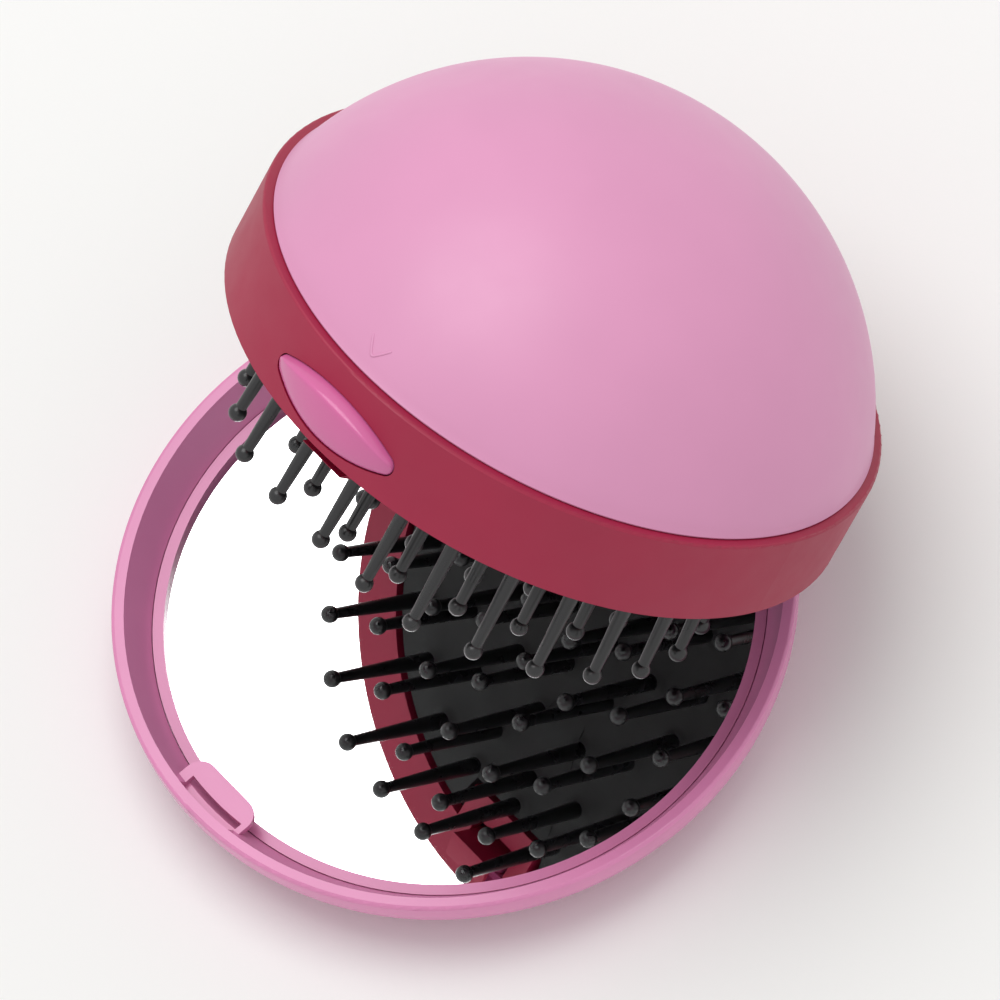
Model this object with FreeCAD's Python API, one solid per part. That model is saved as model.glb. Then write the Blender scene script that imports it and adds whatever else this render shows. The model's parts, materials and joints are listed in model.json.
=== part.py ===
"""Round folding pocket hair brush with a mirror in its lid, stored open.

The lid lies flat on Z = 0 with its centre on the Z axis. The hinge is at +Y and the push button at -Y.
Every piece is drawn closed, with the lid's rim in the plane z = 0. Pieces of the domed half are then swung
open about the hinge, and everything is lifted by the lid's height.
"""
import FreeCAD, Part
import math
import os
from FreeCAD import Vector

# Domed half
ring_radius = 36.0  # outside of the dark ring
ring_height = 10.0
ring_wall = 1.8
ring_ledge = 1.1  # flat top of the ring outside the dome
ring_round = 0.3  # rounded top edge of the ring
flange_width = 5.4  # from the ring's outside to the flange's inner edge
flange_thickness = 1.7
dome_height = 25.0
dome_wall = 1.4
skirt_depth = 3.0  # part of the dome that plugs into the ring
skirt_wall = 1.1

# Lid
lid_lip = 1.2  # how far the lid's rim stands proud of the ring
lid_height = 10.0
lid_side = 1.5  # upright part of the lid's side, below the rim
lid_curve = 11.2  # from the lid's outside to its flat base
lid_shoulder = 5.5  # radius of the lid's side in section
rim_width = 1.4
rim_round = 0.4
mirror_margin = 4.3  # from the lid's outside to the edge of the glass
mirror_depth = 5.6  # from the rim down to the glass
mirror_thickness = 1.2
pad_thickness = 0.4
pad_margin = 0.4
bezel_lap = 0.7  # how far the bezel laps over the glass
bezel_rim = 0.5  # how far the bezel reaches past the glass
bezel_height = 1.0
tab_depth = 8.8  # tabs of the bezel that the push legs stand on, from the bezel's inner edge
tab_width = 6.0

# Fits
fit_gap = 0.1  # pieces that plug together
running_gap = 0.05  # shafts that turn or slide in their holes
press_gap = 0.02  # hinge pin in the lid's lugs
clear_gap = 0.3  # pieces that pass each other

# Hinge
open_angle = 43.5
hinge_reach = 4.0  # from the ring's outside to the hinge axis
hinge_drop = 7.5  # from the rim down to the hinge axis
barrel_radius = 2.2
hinge_pin_radius = 1.0
arm_width = 10.0
arm_slot = 5.6  # room for the spring between the arm's cheeks
arm_slot_height = 6.0  # from the hinge axis up
arm_thickness = 4.4
arm_top = 7.6  # where the arm leaves the ring, above the ring's edge
arm_bevel = 0.8
lug_width = 4.0
lug_gap = 0.2
heel_radius = 0.8  # nose on the arm that stops the opening
heel_inset = 3.0  # from the hinge axis to the nose, open
heel_rise = 1.3
spring_wire = 0.6
spring_coil_radius = 1.7
spring_pitch = 1.1
spring_turns = 4
arm_leg_length = 4.0  # straight end of the hinge spring on the arm

# Button and latch
button_length = 18.0
button_height = 5.8
button_tip = 1.1  # radius of the button's rounded ends
button_level = 4.2  # middle of the button above the rim plane
button_sink = 1.1  # from the ring's outside to the button's long axis
button_travel = 1.5
button_gap = 0.25
button_flange = 1.0  # how far the button's flange laps behind the ring's wall
button_flange_thickness = 0.8
stem_width = 3.0
housing_width = 11.0
housing_depth = 5.4
housing_wall = 1.3
housing_height = 7.0
tongue_width = 6.0
tongue_thickness = 0.8
tongue_root = 1.2
hook_reach = 2.5
hook_thickness = 0.8
catch_width = 10.0
catch_reach = 3.2  # from the lid's inner wall inwards
catch_top = 1.2  # below the rim
catch_height = 0.8
catch_round = 2.0
pocket_width = 8.0  # slot behind the catch
pocket_depth = 1.7
pocket_end = 0.7  # solid end of the catch beside the slot

# Pin bed
bed_face = 0.6  # face of the bed above the rim plane, popped out
cushion_thickness = 1.7
carrier_thickness = 1.4
carrier_lap = 0.6  # how far the carrier laps over the flange
carrier_bevel = 0.6  # upper edge of the carrier, near the dome when pushed in
pin_margin = 3.8  # from the cushion's edge to the outermost pins
pin_rings = 4
pins_per_step = 6  # each ring has this many more pins than the last
pin_reach = 15.9  # from the bed's face to the middle of the ball
pin_base_radius = 1.0
pin_tip_radius = 0.6
pin_ball_radius = 1.0
pin_splay = 4.0  # lean of the outermost pins
spigot_radius = 0.8
head_radius = 1.2
head_thickness = 0.6
leg_radius = 1.6
leg_spread = 7.25  # half the distance between the push legs
leg_inset = 14.05  # from the hinge axis to the push legs
leg_gap = 0.6  # foot to tab, open and closed

# Guides
crown_room = 3.5  # from the guide plate up to the dome's inside
post_radius = 1.6
sleeve_wall = 0.8
plate_thickness = 1.8
stub_height = 2.0  # centres the pop spring under the guide plate
pop_wire = 0.9
coil_room = 1.35  # between the pop spring and the heads of the innermost pins
pop_turns = 8
screw_edge = 5.7  # from the guide plate's edge to its screws
screw_radius = 0.95
screw_head_radius = 1.9
screw_head_height = 1.3
screw_bite = 1.6  # length of screw in the dome's boss
boss_radius = 2.4
boss_overlap = 0.45  # how far the bosses run into the dome's wall

# Places that follow from the sizes
parting = clear_gap  # the ring's lower edge stands this far above the lid's rim when closed
ring_inner = ring_radius - ring_wall
flange_inner = ring_radius - flange_width
flange_top = parting + flange_thickness
ring_top = parting + ring_height
dome_radius = ring_radius - ring_ledge
lid_radius = ring_radius + lid_lip
rim_inner = lid_radius - rim_width
glass_radius = lid_radius - mirror_margin
glass_bottom = mirror_depth + mirror_thickness
cavity_depth = glass_bottom + pad_thickness
bezel_outer = glass_radius + bezel_rim
bezel_inner = glass_radius - bezel_lap
bezel_top = mirror_depth - bezel_height
hinge_y = ring_radius + hinge_reach
hinge_z = -hinge_drop
turn = math.radians(open_angle)
carrier_bottom = bed_face + cushion_thickness
carrier_top = carrier_bottom + carrier_thickness
cushion_radius = flange_inner - clear_gap - fit_gap
carrier_radius = flange_inner + carrier_lap
leg_y = hinge_y - leg_inset

# The feet of the push legs ride on the bezel's tabs, which sets how far the bed pops out
foot_closed = leg_radius + leg_gap - bezel_top
foot_drop = hinge_drop - bezel_top + leg_radius + leg_gap - leg_inset * math.sin(turn)
foot_open = foot_drop / math.cos(turn) - hinge_drop
pop_travel = foot_closed - foot_open

# The guide plate hangs under the dome's crown, and the sleeves reach it when the bed is pushed in
plate_top = ring_top + dome_height - dome_wall - crown_room
plate_bottom = plate_top - plate_thickness
sleeve_top = plate_bottom - clear_gap - pop_travel
post_end = carrier_bottom + pop_travel + clear_gap

# Guide posts stand midway between the first and second rings of pins, the pop spring inside the first
pin_spacing = (cushion_radius - pin_margin) / pin_rings
post_circle = (pin_spacing + 2 * pin_spacing) / 2
pop_coil_radius = pin_spacing - head_radius - coil_room - pop_wire / 2

# The housing stands behind the button's flange, clear of it when pressed
button_flange_outer = ring_inner - fit_gap
button_flange_inner = button_flange_outer - button_flange_thickness
housing_front = button_travel + clear_gap - math.sqrt(button_flange_inner ** 2 - (housing_width / 2) ** 2)
housing_back = housing_front + housing_depth
stem_end = housing_front
tongue_outer = stem_end + clear_gap
tongue_inner = tongue_outer + tongue_thickness
notch_half = housing_width / 2 + clear_gap + fit_gap
notch_edge = housing_back + clear_gap + fit_gap

far = 2 * ring_radius  # beyond the whole brush, for cuts that go right through
ORIGIN = Vector(0, 0, 0)
UP = Vector(0, 0, 1)
ALONG = Vector(1, 0, 0)


def line(start, end):
    """A straight edge."""
    return Part.LineSegment(start, end).toShape()


def outline(points):
    """A flat face inside straight edges through the points."""
    return Part.Face(Part.makePolygon(points + points[:1]))


def spun(edges):
    """A body of revolution about Z from the edges of its half section."""
    wire = Part.Wire(Part.__sortEdges__(edges))
    return Part.Face(wire).revolve(ORIGIN, UP, 360)


def section(points):
    """Points (radius, height) of a half section, as places in the XZ plane."""
    return [Vector(radius, 0, height) for radius, height in points]


def spun_outline(points):
    """A body of revolution whose half section has only straight edges."""
    return outline(section(points)).revolve(ORIGIN, UP, 360)


def tube(inner, outer, bottom, top):
    """An upright ring between two radii and two heights."""
    return spun_outline([(inner, bottom), (outer, bottom), (outer, top), (inner, top)])


def disc(radius, bottom, top, x=0.0, y=0.0):
    """An upright cylinder between two heights."""
    return Part.makeCylinder(radius, top - bottom, Vector(x, y, bottom))


def block(x0, x1, y0, y1, z0, z1):
    """A box between two corners."""
    return Part.makeBox(x1 - x0, y1 - y0, z1 - z0, Vector(x0, y0, z0))


def bar(radius, x0, x1, y, z):
    """A cylinder that lies along X."""
    return Part.makeCylinder(radius, x1 - x0, Vector(x0, y, z), ALONG)


def plate(points, x0, x1):
    """A side profile of (y, z) points, as thick as the distance between two places along X."""
    face = outline([Vector(x0, y, z) for y, z in points])
    return face.extrude(Vector(x1 - x0, 0, 0))


def polar(radius, degrees):
    """Place of a point on a circle, seen from above."""
    angle = math.radians(degrees)
    return radius * math.cos(angle), radius * math.sin(angle)


def joined(shapes):
    """One solid from pieces that meet."""
    return shapes[0].multiFuse(shapes[1:]).removeSplitter()


def swing(shape):
    """Swing a piece of the domed half open about the hinge."""
    shape.rotate(Vector(0, hinge_y, hinge_z), ALONG, -open_angle)
    return shape


class Oval:
    """A quarter of an oval from two tangent arcs: across is its half width, rise its height."""

    def __init__(self, across, rise, shoulder):
        self.shoulder = shoulder
        self.side = across - shoulder
        spare = rise - shoulder
        self.sink = (self.side ** 2 - spare ** 2) / (2 * spare)
        self.crown = rise + self.sink
        self.lean = math.atan2(self.sink, self.side)

    def edges(self, x, z):
        """Its two arcs in the XZ plane about a middle, bulging down."""
        def at(middle_x, middle_z, radius, angle):
            across = middle_x + radius * math.cos(angle)
            down = middle_z + radius * math.sin(angle)
            return Vector(x + across, 0, z - down)

        side = [at(self.side, 0, self.shoulder, share * self.lean) for share in (0, 0.5, 1)]
        rest = math.pi / 2 - self.lean
        top = [at(0, -self.sink, self.crown, self.lean + share * rest) for share in (0, 0.5, 1)]
        return [Part.Arc(*side).toShape(), Part.Arc(side[2], top[1], top[2]).toShape()]

    def radius_at(self, depth):
        """Half width at a depth."""
        if depth < self.shoulder * math.sin(self.lean):
            return self.side + math.sqrt(self.shoulder ** 2 - depth ** 2)
        return math.sqrt(self.crown ** 2 - (depth + self.sink) ** 2)


class Cap:
    """A cap of a sphere, of half width across and height rise, or the face that lies wall inside it."""

    def __init__(self, across, rise, wall=0.0):
        ball = (across ** 2 + rise ** 2) / (2 * rise)
        self.sink = ball - rise
        self.ball = ball - wall

    def edge(self, z):
        """Its arc in the XZ plane, from its base at height z up to its crown."""
        base = math.degrees(math.asin(self.sink / self.ball))
        places = [polar(self.ball, angle) for angle in (base, (base + 90) / 2, 90)]
        return Part.Arc(*[Vector(x, 0, z + up - self.sink) for x, up in places]).toShape()

    def radius_at(self, height):
        """Half width at a height above its base."""
        return math.sqrt(self.ball ** 2 - (height + self.sink) ** 2)

    def height_at(self, radius):
        """Height above its base at a distance from its middle."""
        return math.sqrt(self.ball ** 2 - radius ** 2) - self.sink


def arc_from(start, tangent, end):
    """The arc that leaves start along tangent and reaches end."""
    chord = end - start
    bulge = chord.Length / 2 * math.tan(tangent.getAngle(chord) / 2)
    side = tangent - chord * (tangent.dot(chord) / chord.dot(chord))
    return Part.Arc(start, start + chord * 0.5 + side.normalize() * bulge, end).toShape()


def biarc(start, start_way, end, end_way):
    """Two arcs from start to end that leave and arrive along the given directions."""
    gap = end - start
    both = start_way + end_way
    a = 2 * (start_way.dot(end_way) - 1)
    b = -2 * gap.dot(both)
    c = gap.dot(gap)
    reach = (-b - math.sqrt(b * b - 4 * a * c)) / (2 * a)
    before = start + start_way * reach
    after = end - end_way * reach
    knee = (before + after) * 0.5
    knee_way = (after - before).normalize()
    return [arc_from(start, start_way, knee), arc_from(knee, knee_way, end)]


def coil(place, way, first, last, wire_radius, legs=(0.0, 0.0)):
    """A wound wire, two arcs a quarter turn: place and way give a point and a direction at an angle."""
    steps = round((last - first) / 90)
    angles = [first + (last - first) * i / steps for i in range(steps + 1)]
    edges = []
    if legs[0]:
        edges.append(line(place(first) - way(first) * legs[0], place(first)))
    for a, b in zip(angles, angles[1:]):
        edges += biarc(place(a), way(a), place(b), way(b))
    if legs[1]:
        edges.append(line(place(last), place(last) + way(last) * legs[1]))
    start = edges[0].valueAt(edges[0].FirstParameter)
    ring = Part.Circle(start, way(first), wire_radius).toShape()
    return Part.Wire(edges).makePipeShell([Part.Wire(ring)], True, False)


def lens_half(grow, y, way):
    """Half of the button's outline, grown all round: a flat arc between two tip arcs that touch it."""
    tip = button_tip + grow
    end = button_length / 2 + grow
    rise = button_height / 2 + grow
    tip_x = end - tip
    radius = (tip_x ** 2 + rise ** 2 - tip ** 2) / (2 * (rise - tip))
    lean = math.atan2(radius - rise, tip_x)

    def at(x, height):
        return Vector(x, y, button_level + way * height)

    def on_tip(side, angle):
        return at(side * (tip_x + tip * math.cos(angle)), tip * math.sin(angle))

    edges = [Part.Arc(on_tip(-1, lean), at(0, rise), on_tip(1, lean)).toShape()]
    for side in (-1, 1):
        edges.append(Part.Arc(on_tip(side, 0), on_tip(side, lean / 2), on_tip(side, lean)).toShape())
    return edges


def lens(grow, y0, y1):
    """A prism along Y with the button's outline, grown all round."""
    edges = lens_half(grow, y0, 1) + lens_half(grow, y0, -1)
    return Part.Face(Part.Wire(Part.__sortEdges__(edges))).extrude(Vector(0, y1 - y0, 0))


dome_outside = Cap(dome_radius, dome_height)
dome_inside = Cap(dome_radius, dome_height, dome_wall)
lid_oval = Oval(lid_curve, lid_height - lid_side, lid_shoulder)
plate_radius = dome_inside.radius_at(plate_top - ring_top) - clear_gap
screw_circle = plate_radius - screw_edge


def lid_inner_radius(depth):
    """Radius of the lid's sloping inner wall at a depth below the rim."""
    return rim_inner + (bezel_outer + fit_gap - rim_inner) * depth / bezel_top


def make_lid_shell():
    """Shallow bowl with hinge lugs outside and the catch inside."""
    side_end = Vector(lid_radius, 0, -lid_side)
    base_radius = lid_radius - lid_curve
    round_start = Vector(lid_radius - rim_round, 0, 0)
    round_end = Vector(lid_radius, 0, -rim_round)
    corner = Vector(lid_radius - rim_round, 0, -rim_round)
    round_mid = corner + Vector(1, 0, 1).normalize() * rim_round
    bowl = spun([
        line(ORIGIN, round_start),
        Part.Arc(round_start, round_mid, round_end).toShape(),
        line(round_end, side_end),
        *lid_oval.edges(base_radius, -lid_side),
        line(Vector(base_radius, 0, -lid_height), Vector(0, 0, -lid_height)),
        line(Vector(0, 0, -lid_height), ORIGIN),
    ])
    inside = arm_width / 2 + lug_gap
    web = [
        (hinge_y, hinge_z + barrel_radius),
        (rim_inner, -lid_side),
        (base_radius, -lid_height + barrel_radius),
        (hinge_y, hinge_z - barrel_radius),
    ]
    lugs = []
    for left in (-inside - lug_width, inside):
        lugs.append(plate(web, left, left + lug_width))
        lugs.append(bar(barrel_radius, left, left + lug_width, hinge_y, hinge_z))
    shell = joined([bowl] + lugs)
    shell = shell.cut(spun_outline([
        (0, far),
        (rim_inner, far),
        (rim_inner, 0),
        (bezel_outer + fit_gap, -bezel_top),
        (bezel_outer + fit_gap, -mirror_depth),
        (glass_radius + fit_gap, -mirror_depth),
        (glass_radius + fit_gap, -cavity_depth),
        (0, -cavity_depth),
    ]))
    shell = shell.cut(bar(hinge_pin_radius + press_gap, -far, far, hinge_y, hinge_z))
    catch_low = -catch_top - catch_height
    inner_edge = lid_inner_radius(-catch_low) - catch_reach
    catch = block(-catch_width / 2, catch_width / 2, -lid_radius, -inner_edge, catch_low, -catch_top)
    corners = [edge for edge in catch.Edges if upright_edge_at(edge, -inner_edge)]
    catch = catch.makeFillet(catch_round, corners)
    catch = catch.common(disc(rim_inner + rim_width / 2, catch_low, -catch_top))
    pocket_side = catch_width / 2 - pocket_end
    pocket = block(pocket_side - pocket_width, pocket_side, -far, 0, catch_low, 0)
    pocket = pocket.common(tube(rim_inner - pocket_depth, rim_inner, catch_low, 0))
    return joined([shell, catch]).cut(pocket)


def upright_edge_at(edge, y):
    """Whether an edge stands upright at a place along Y."""
    ends = [vertex.Point for vertex in edge.Vertexes]
    upright = abs(ends[0].z - ends[1].z) > abs(ends[0].x - ends[1].x) + abs(ends[0].y - ends[1].y)
    return upright and abs(ends[0].y - y) < press_gap


def make_mirror_bezel():
    """Retaining ring over the glass, with a tab at the back for each push leg."""
    ring = tube(bezel_inner, bezel_outer, -mirror_depth, -bezel_top)
    back = bezel_inner - tab_depth
    solids = [ring]
    for x in (-leg_spread, leg_spread):
        half = tab_width / 2
        tab = block(x - half, x + half, back, bezel_outer, -mirror_depth, -bezel_top)
        solids.append(tab.common(disc(bezel_outer, -mirror_depth, -bezel_top)))
    return joined(solids)


def make_hinge_pin():
    """Rod through both lugs and the arm."""
    half = arm_width / 2 + lug_gap + lug_width
    return bar(hinge_pin_radius, -half, half, hinge_y, hinge_z)


def make_hinge_spring():
    """Torsion spring on the hinge pin: one end lies in the arm's slot, the other on the lid's wall."""
    slope = spring_pitch / (2 * math.pi)
    first = 180 - open_angle
    last = 90 + 360 * spring_turns
    middle = (first + last) / 2

    def place(degrees):
        y, z = polar(spring_coil_radius, degrees)
        x = slope * math.radians(degrees - middle)
        return Vector(x, hinge_y + y, hinge_z + z)

    def way(degrees):
        y, z = polar(spring_coil_radius, degrees + 90)
        return Vector(slope, y, z).normalize()

    wall = lid_radius - lid_curve + lid_oval.radius_at(hinge_drop - spring_coil_radius - lid_side)
    lid_leg = hinge_y - wall - clear_gap
    print("hinge spring, gap between turns:", round(spring_pitch - spring_wire, 2))
    return coil(place, way, first, last, spring_wire / 2, (arm_leg_length, lid_leg))


def make_body_ring():
    """Dark ring with its flange, the latch's pad, the button's opening and the hinge arm."""
    round_start = Vector(ring_radius, 0, ring_top - ring_round)
    round_end = Vector(ring_radius - ring_round, 0, ring_top)
    corner = Vector(ring_radius - ring_round, 0, ring_top - ring_round)
    round_mid = corner + Vector(1, 0, 1).normalize() * ring_round
    wall = section([
        (ring_radius - ring_round, ring_top),
        (ring_inner, ring_top),
        (ring_inner, flange_top),
        (flange_inner, flange_top),
        (flange_inner, parting),
        (ring_radius, parting),
        (ring_radius, ring_top - ring_round),
    ])
    edges = [line(a, b) for a, b in zip(wall, wall[1:])]
    edges.append(Part.Arc(round_start, round_mid, round_end).toShape())
    ring = spun(edges)
    half = housing_width / 2
    pad = block(-half, half, -ring_inner - ring_wall / 2, housing_back, parting, flange_top)
    ring = joined([ring, pad, make_arm()])
    ring = ring.cut(lens(button_gap, -far, housing_front))
    slot_half = tongue_width / 2 + clear_gap
    return ring.cut(block(-slot_half, slot_half, -ring_inner, tongue_inner + button_travel, 0, flange_top))


def make_arm():
    """Hinge arm at the back of the ring: two cheeks, a slot for the spring and the nose that stops it."""
    inner_y = lid_radius + clear_gap + fit_gap
    root_y = ring_radius - ring_wall / 2
    profile = [
        (root_y, arm_top),
        (inner_y + fit_gap, arm_top - arm_bevel),
        (inner_y + arm_thickness, -arm_bevel),
        (hinge_y + barrel_radius, hinge_z),
        (inner_y, hinge_z),
        (inner_y, parting + clear_gap),
        (root_y, parting + 2 * clear_gap),
    ]
    half = arm_width / 2
    nose_y = hinge_y - heel_inset * math.cos(turn) - heel_rise * math.sin(turn)
    nose_z = hinge_z - heel_inset * math.sin(turn) + heel_rise * math.cos(turn)
    corner = heel_radius * math.sqrt(0.5)
    web = [(hinge_y, hinge_z), (nose_y + corner, nose_z - corner), (nose_y - corner, nose_z + corner)]
    arm = joined([
        plate(profile, -half, half),
        bar(barrel_radius, -half, half, hinge_y, hinge_z),
        bar(heel_radius, -half, half, nose_y, nose_z),
        plate(web, -half, half),
    ])
    slot = arm_slot / 2
    arm = arm.cut(block(-slot, slot, ring_radius, far, -far, hinge_z + arm_slot_height))
    return arm.cut(bar(hinge_pin_radius + running_gap, -far, far, hinge_y, hinge_z))


def screw_places():
    """Places of the guide plate's screws, between the guide posts."""
    return [polar(screw_circle, 90 + 120 * i) for i in range(3)]


def post_places():
    """Places of the guide posts."""
    return [polar(post_circle, 30 + 120 * i) for i in range(3)]


def make_dome_cover():
    """Dome with a skirt that plugs into the ring, and bosses for the guide plate's screws."""
    outer = dome_outside.edge(ring_top)
    inner = dome_inside.edge(ring_top)
    skirt_outer = ring_inner - fit_gap
    skirt_inner = skirt_outer - skirt_wall
    skirt = section([
        (dome_radius, ring_top),
        (skirt_outer, ring_top),
        (skirt_outer, ring_top - skirt_depth),
        (skirt_inner, ring_top - skirt_depth),
        (skirt_inner, ring_top),
        (dome_inside.radius_at(0), ring_top),
    ])
    edges = [outer, inner] + [line(a, b) for a, b in zip(skirt, skirt[1:])]
    crown = Vector(0, 0, ring_top + dome_height)
    edges.append(line(crown, crown - Vector(0, 0, dome_wall)))
    shell = spun(edges)
    reach = ring_top + dome_inside.height_at(screw_circle - boss_radius) + boss_overlap
    bosses = [disc(boss_radius, plate_top, reach, x, y) for x, y in screw_places()]
    middle = Vector(0, 0, ring_top)
    filled = spun([outer, line(crown, middle), line(middle, Vector(dome_radius, 0, ring_top))])
    shell = joined([shell] + [boss.common(filled) for boss in bosses])
    for x, y in screw_places():
        hole_end = plate_top + screw_bite + fit_gap
        shell = shell.cut(disc(screw_radius + running_gap, plate_top, hole_end, x, y))
    return shell


def make_guide_plate():
    """Plate under the dome's crown: guide posts, a stub for the spring, holes for screws."""
    body = disc(plate_radius, plate_bottom, plate_top)
    stub = disc(pop_coil_radius - pop_wire / 2 - clear_gap, plate_bottom - stub_height, plate_bottom)
    posts = [disc(post_radius, post_end, plate_bottom, x, y) for x, y in post_places()]
    plate_body = joined([body, stub] + posts)
    for x, y in screw_places():
        plate_body = plate_body.cut(disc(screw_radius + fit_gap, plate_bottom, plate_top, x, y))
    return plate_body


def make_plate_screws():
    """Three screws, heads under the guide plate."""
    screws = []
    for x, y in screw_places():
        head = disc(screw_head_radius, plate_bottom - screw_head_height, plate_bottom, x, y)
        shank = disc(screw_radius, plate_bottom, plate_top + screw_bite, x, y)
        screws.append(joined([head, shank]))
    return Part.makeCompound(screws)


def make_push_button():
    """Lens-shaped button: a spindle bulges out, a flange holds it in, a stem reaches the tongue."""
    axis_y = -ring_radius + button_sink
    left = Vector(-button_length / 2, axis_y, button_level)
    right = Vector(button_length / 2, axis_y, button_level)
    half_lens = Part.Face(Part.Wire(Part.__sortEdges__(lens_half(0, axis_y, 1) + [line(left, right)])))
    spindle = half_lens.revolve(left, ALONG, 360)
    front = spindle.common(block(-far, far, -far, axis_y, -far, far))
    back_y = -ring_inner * math.cos(math.asin(button_length / 2 / ring_inner))
    body = lens(0, axis_y, back_y)
    flange = lens(button_flange, -ring_inner, back_y + ring_wall)
    low = flange_top + clear_gap
    high = ring_top - skirt_depth - clear_gap
    flange = flange.common(tube(button_flange_inner, button_flange_outer, low, high))
    body = body.cut(disc(button_flange_inner, 0, ring_top))
    half = stem_width / 2
    stem_start = -button_flange_inner - button_flange_thickness / 2
    stem = block(-half, half, stem_start, stem_end, button_level - half, button_level + half)
    return joined([front, body, flange, stem])


def make_latch_housing():
    """Bracket on the flange's pad, open towards the button and below, that holds the tongue."""
    half = housing_width / 2
    top = flange_top + housing_height
    outer = block(-half, half, housing_front, housing_back, flange_top, top)
    inner = half - housing_wall
    return outer.cut(block(-inner, inner, -far, housing_back - housing_wall, -far, top - housing_wall))


def make_latch_tongue():
    """Springy tongue that hangs from the housing, with a hook under the lid's catch."""
    half = tongue_width / 2
    root_top = flange_top + housing_height - housing_wall
    hook_top = -catch_top - catch_height - clear_gap
    tongue = block(-half, half, tongue_outer, tongue_inner, hook_top - hook_thickness, root_top)
    root = block(-half, half, tongue_inner, housing_back - housing_wall, root_top - tongue_root, root_top)
    hook = plate([
        (tongue_outer, hook_top),
        (tongue_outer - hook_reach, hook_top),
        (tongue_outer, hook_top - hook_thickness),
    ], -half, half)
    return joined([tongue, root, hook])


def pin_places(ring):
    """Places of one ring's pins, beside the latch's notch at the front and clear of the push legs."""
    if ring == 0:
        return [(0.0, 0.0)]
    count = pins_per_step * ring
    radius = pin_spacing * ring
    shift = 180 / count if ring in (2, 3) else 0
    places = [beside_notch(*polar(radius, 360 * i / count + shift)) for i in range(count)]
    return [place for place in places if pin_fits(*place)]


def beside_notch(x, y):
    """A pin's place, moved back to the edge of the latch's notch where that is in its way."""
    room = pin_base_radius + clear_gap
    if abs(x) < notch_half + room:
        y = max(y, notch_edge + room)
    return x, y


def pin_fits(x, y):
    """Whether a pin clears the push legs, and the glass, which is near behind them."""
    room = leg_radius + pin_base_radius + clear_gap
    return y < leg_y and math.hypot(abs(x) - leg_spread, y - leg_y) > room


def make_pin(x, y):
    """One pin: a tapered shaft that leans outwards, a ball, a spigot through the bed and a head."""
    lean = math.radians(pin_splay) * math.hypot(x, y) / (pin_spacing * pin_rings)
    around = math.atan2(y, x)
    way = Vector(math.sin(lean) * math.cos(around), math.sin(lean) * math.sin(around), -math.cos(lean))
    root = Vector(x, y, bed_face)
    start = root - way * pin_base_radius
    shaft = Part.makeCone(pin_base_radius, pin_tip_radius, pin_base_radius + pin_reach, start, way)
    shaft = shaft.common(block(-far, far, -far, far, -far, bed_face))
    ball = Part.makeSphere(pin_ball_radius, root + way * pin_reach)
    spigot = disc(spigot_radius, bed_face, carrier_top, x, y)
    head = disc(head_radius, carrier_top, carrier_top + head_thickness, x, y)
    return joined([shaft, ball, spigot, head])


def make_pins(ring):
    """All pins of one ring."""
    return Part.makeCompound([make_pin(x, y) for x, y in pin_places(ring)])


def spigot_holes(bottom, top):
    """Holes for the spigots of all pins and legs."""
    holes = []
    for ring in range(pin_rings + 1):
        holes += [disc(spigot_radius + running_gap, bottom, top, x, y) for x, y in pin_places(ring)]
    for x in (-leg_spread, leg_spread):
        holes.append(disc(spigot_radius + running_gap, bottom, top, x, leg_y))
    return holes


def bed_notch(bottom, top):
    """Room in the bed for the latch's housing."""
    return block(-notch_half, notch_half, -ring_radius, notch_edge, bottom, top)


def make_bed_cushion():
    """Soft face of the bed."""
    body = disc(cushion_radius, bed_face, carrier_bottom).cut(bed_notch(bed_face, carrier_bottom))
    return body.cut(Part.makeCompound(spigot_holes(bed_face, carrier_bottom)))


def make_bed_carrier():
    """Plate behind the cushion that stops on the flange, with sleeves for the guide posts."""
    body = spun_outline([
        (0, carrier_bottom),
        (carrier_radius, carrier_bottom),
        (carrier_radius, carrier_top - carrier_bevel),
        (carrier_radius - carrier_bevel, carrier_top),
        (0, carrier_top),
    ])
    body = body.cut(bed_notch(carrier_bottom, carrier_top))
    body = body.common(disc(button_flange_inner - clear_gap, carrier_bottom, carrier_top, 0, button_travel))
    sleeve_radius = post_radius + sleeve_wall
    sleeves = [disc(sleeve_radius, carrier_bottom, sleeve_top, x, y) for x, y in post_places()]
    body = joined([body] + sleeves)
    bores = [disc(post_radius + running_gap, carrier_bottom, sleeve_top, x, y) for x, y in post_places()]
    return body.cut(Part.makeCompound(spigot_holes(carrier_bottom, carrier_top) + bores))


def make_push_legs():
    """Two stiff legs with round feet on the bezel's tabs."""
    legs = []
    for x in (-leg_spread, leg_spread):
        shaft = disc(leg_radius, foot_open, bed_face, x, leg_y)
        foot = Part.makeSphere(leg_radius, Vector(x, leg_y, foot_open))
        spigot = disc(spigot_radius, bed_face, carrier_top, x, leg_y)
        head = disc(head_radius, carrier_top, carrier_top + head_thickness, x, leg_y)
        legs.append(joined([shaft, foot, spigot, head]))
    return Part.makeCompound(legs)


def make_pop_spring():
    """Coil between the bed and the guide plate."""
    low = carrier_top + pop_wire / 2 + fit_gap
    high = plate_bottom - pop_wire / 2 - fit_gap
    rise = (high - low) / (2 * math.pi * pop_turns)

    def place(degrees):
        x, y = polar(pop_coil_radius, degrees)
        return Vector(x, y, low + rise * math.radians(degrees))

    def way(degrees):
        x, y = polar(pop_coil_radius, degrees + 90)
        return Vector(x, y, rise).normalize()

    print("pop spring, gap between turns:", round(2 * math.pi * rise - pop_wire, 2))
    return coil(place, way, 0, 360 * pop_turns, pop_wire / 2)


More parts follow.
